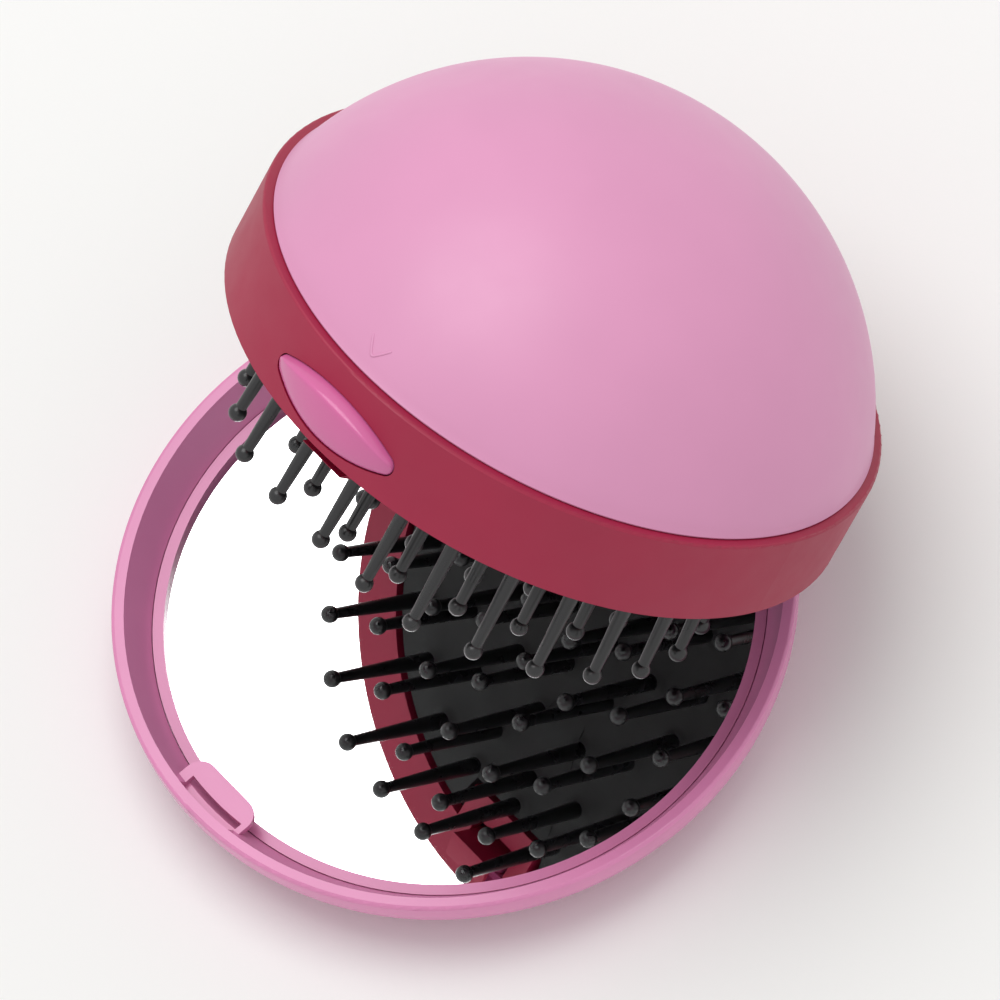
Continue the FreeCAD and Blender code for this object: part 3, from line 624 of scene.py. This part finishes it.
class BRUSH_OT_bed(bpy.types.Operator):
    """Make the rubber face of the pin bed, and finish the plate behind it"""

    bl_idname = "brush.bed"
    bl_label = "Pin bed"

    def execute(self, context):
        sizes = context.scene.brush_sizes
        # Outline seen from the middle: a circle, and at the front (angle 0) the straight edge of the notch
        half = math.atan2(sizes.notch_half, sizes.notch_depth)
        corner = 0.001
        front = np.linspace(-half, half, 41)
        back = np.linspace(half + corner, 2 * math.pi - half - corner, 520)
        angle = np.concatenate([front, back])
        reach = np.concatenate([sizes.notch_depth / np.cos(front), np.full(len(back), BED_RADIUS)])
        edge = np.stack([reach * np.sin(angle), -reach * np.cos(angle)], -1)
        # Face: a shallow paraboloid that swells downwards, with a bell-shaped collar round each pin
        share = np.linspace(0, 1, 96)[:, None, None]
        flat = edge * share
        swell = sizes.bed_crown * (1 - np.sum(flat ** 2, -1) / BED_RADIUS ** 2)
        gap = np.linalg.norm(flat[:, :, None] - pin_roots(sizes), axis=-1)
        collar = sizes.collar_height * np.exp(-(gap / sizes.collar_width) ** 4).max(-1)
        # Near the edge both fade out, and a quarter circle rounds it
        margin = np.clip(reach * (1 - share[:, :, 0]) / sizes.bed_edge, 0, 1)
        rounded = sizes.bed_edge * (1 - np.sqrt(1 - (1 - margin) ** 2))
        level = sizes.bed_face - (swell + collar) * margin + rounded
        face = np.concatenate([flat, level[..., None]], -1)
        behind = np.full((len(angle), 1), sizes.bed_face + sizes.bed_thickness)
        rows = np.concatenate([face, [np.hstack([edge, behind]), np.hstack([0 * edge, behind])]])
        piece = skin(
            "bed_rubber", swung_open(rows), "pin_bed", "Silicone rubber, black", sharp=60
        )
        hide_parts("bed_cushion")
        finish_nodes("Acetal, black", "bed_carrier", "push_legs")
        return {"FINISHED"}


class BRUSH_OT_pins(bpy.types.Operator):
    """Finish the rings of ball-tipped pins"""

    bl_idname = "brush.pins"
    bl_label = "Pins"

    def execute(self, context):
        rings = ["pins_ring_%d" % k for k in range(1, PIN_RINGS + 1)]
        finish_nodes("Nylon, black", "pins_centre", *rings)
        return {"FINISHED"}


class BRUSH_OT_guides(bpy.types.Operator):
    """Finish the guide plate and its screws, and make the pop spring under the dome"""

    bl_idname = "brush.guides"
    bl_label = "Guides and spring"

    def execute(self, context):
        finish_nodes("Acetal, black", "guide_plate")
        finish_nodes("Drawn steel", "plate_screws")
        sizes = context.scene.brush_sizes
        # The spring's wire: a circle carried along a helix, which shortens as the bed moves in
        steps_a_turn = 48
        turns = np.linspace(0, sizes.coil_turns, steps_a_turn * sizes.coil_turns + 1)
        turn = 2 * math.pi * turns
        out = np.stack([np.cos(turn), np.sin(turn), 0 * turn], -1)
        path = sizes.coil_radius * out
        path[:, 2] = np.linspace(sizes.coil_low, sizes.coil_high, len(turn))
        along = unit(np.gradient(path, axis=0))
        across = np.cross(along, out)
        angle = np.linspace(0, 2 * math.pi, 12, endpoint=False)[:, None]
        circle = out[:, None] * np.cos(angle) + across[:, None] * np.sin(angle)
        rows = path[:, None] + sizes.coil_wire / 2 * circle
        piece = skin("pop_coil", swung_open(with_ends(rows)), None, "Drawn steel", sharp=60)
        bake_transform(piece)
        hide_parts("pop_spring")
        return {"FINISHED"}


class BRUSH_OT_lid(bpy.types.Operator):
    """Finish the lid, its mirror and the ring that holds it"""

    bl_idname = "brush.lid"
    bl_label = "Lid and mirror"

    def execute(self, context):
        finish_nodes("Polished ABS, pink", "lid_shell", "mirror_bezel")
        finish_nodes("Silvered glass", "mirror_glass")
        finish_nodes("Foam tape", "mirror_pad")
        return {"FINISHED"}


class BRUSH_OT_hinge(bpy.types.Operator):
    """Finish the hinge's pin and spring"""

    bl_idname = "brush.hinge"
    bl_label = "Hinge"

    def execute(self, context):
        finish_nodes("Drawn steel", "hinge_pin", "hinge_spring")
        return {"FINISHED"}


class BRUSH_OT_stage(bpy.types.Operator):
    """Make the floor, the lights and the camera"""

    bl_idname = "brush.stage"
    bl_label = "Stage"

    def execute(self, context):
        scene = context.scene
        scene.view_settings.view_transform = "Standard"

        # The floor lies a hair below the lid's base, so that their faces keep apart
        half, drop = 3.0, 0.05 * MM
        mesh = bpy.data.meshes.new("floor")
        corners = [(-half, -half, -drop), (half, -half, -drop), (half, half, -drop), (-half, half, -drop)]
        mesh.from_pydata(corners, [], [(0, 1, 2, 3)])
        mesh.materials.append(bpy.data.materials["Matte card"])
        floor = put_in_scene("floor", mesh)

        # White for the camera and in reflections, a softer fill on matte surfaces, none by way of the mirror
        fill = 0.68
        scene.world = bpy.data.worlds.new("Studio")
        scene.world.use_nodes = True
        tree = scene.world.node_tree
        tree.nodes.clear()
        rays = add_node(tree, "ShaderNodeLightPath").outputs
        seen = rays["Is Camera Ray"]
        for kind in ("Is Glossy Ray", "Is Transmission Ray"):
            seen = add_node(
                tree, "ShaderNodeMath", {0: seen, 1: rays[kind]}, operation="MAXIMUM"
            ).outputs[0]
        direct = add_node(
            tree, "ShaderNodeMath", {0: rays["Diffuse Depth"], 1: 0.5}, operation="LESS_THAN"
        ).outputs[0]
        seen = add_node(tree, "ShaderNodeMath", {0: seen, 1: direct}, operation="MULTIPLY").outputs[0]
        level = add_node(
            tree, "ShaderNodeMath", {0: rays["Is Diffuse Ray"], 1: fill, 2: seen}, operation="MULTIPLY_ADD"
        ).outputs[0]
        sky = add_node(tree, "ShaderNodeBackground", {"Color": (1.0, 1.0, 1.0, 1.0), "Strength": level})
        add_node(tree, "ShaderNodeOutputWorld", {"Surface": sky.outputs["Background"]})

        # One large soft box overhead, a little to the left of the brush
        lamp = bpy.data.lights.new("soft_box", "AREA")
        lamp.shape = "DISK"
        lamp.size = 0.7
        lamp.energy = 3.4
        soft_box = put_in_scene("soft_box", lamp)
        soft_box.location = (-0.2, 0.05, 0.85)
        soft_box.rotation_euler = soft_box.location.to_track_quat("Z", "Y").to_euler()

        # The photograph's viewing angle, from high on the right through a long lens
        camera = put_in_scene("camera", bpy.data.cameras.new("camera"))
        camera.data.sensor_fit = "HORIZONTAL"
        camera.data.angle = math.radians(4.0907)
        camera.location = (0.619448, -0.274079, 1.350039)
        camera.rotation_euler = [math.radians(degrees) for degrees in (25.9973, 8.0011, 49.539)]
        scene.camera = camera
        return {"FINISHED"}


OPERATORS = (
    BRUSH_OT_finishes,
    BRUSH_OT_dome,
    BRUSH_OT_mark,
    BRUSH_OT_ring,
    BRUSH_OT_button,
    BRUSH_OT_bed,
    BRUSH_OT_pins,
    BRUSH_OT_guides,
    BRUSH_OT_lid,
    BRUSH_OT_hinge,
    BRUSH_OT_stage,
)


class BRUSH_PT_panel(bpy.types.Panel):
    """Lists the pieces, sizes and colours of the brush"""

    bl_label = "Pocket hair brush"
    bl_space_type = "VIEW_3D"
    bl_region_type = "UI"
    bl_category = "Brush"

    def draw(self, context):
        for operator in OPERATORS:
            self.layout.operator(operator.bl_idname)
        for group in (context.scene.brush_sizes, context.scene.brush_colours):
            for name in group.__annotations__:
                self.layout.prop(group, name)


CLASSES = (BrushSizes, BrushColours, *OPERATORS, BRUSH_PT_panel)


def register():
    """Registers the classes and hangs the settings on the scene."""
    for cls in CLASSES:
        bpy.utils.register_class(cls)
    bpy.types.Scene.brush_sizes = bpy.props.PointerProperty(type=BrushSizes)
    bpy.types.Scene.brush_colours = bpy.props.PointerProperty(type=BrushColours)


def unregister():
    """Takes the settings and the classes out again."""
    del bpy.types.Scene.brush_sizes
    del bpy.types.Scene.brush_colours
    for cls in reversed(CLASSES):
        bpy.utils.unregister_class(cls)


def main():
    """Registers the settings and makes every piece in order."""
    register()
    bpy.ops.brush.finishes()
    bpy.ops.brush.dome()
    bpy.ops.brush.mark()
    bpy.ops.brush.ring()
    bpy.ops.brush.button()
    bpy.ops.brush.bed()
    bpy.ops.brush.pins()
    bpy.ops.brush.guides()
    bpy.ops.brush.lid()
    bpy.ops.brush.hinge()
    bpy.ops.brush.stage()


if __name__ == "__main__":
    main()
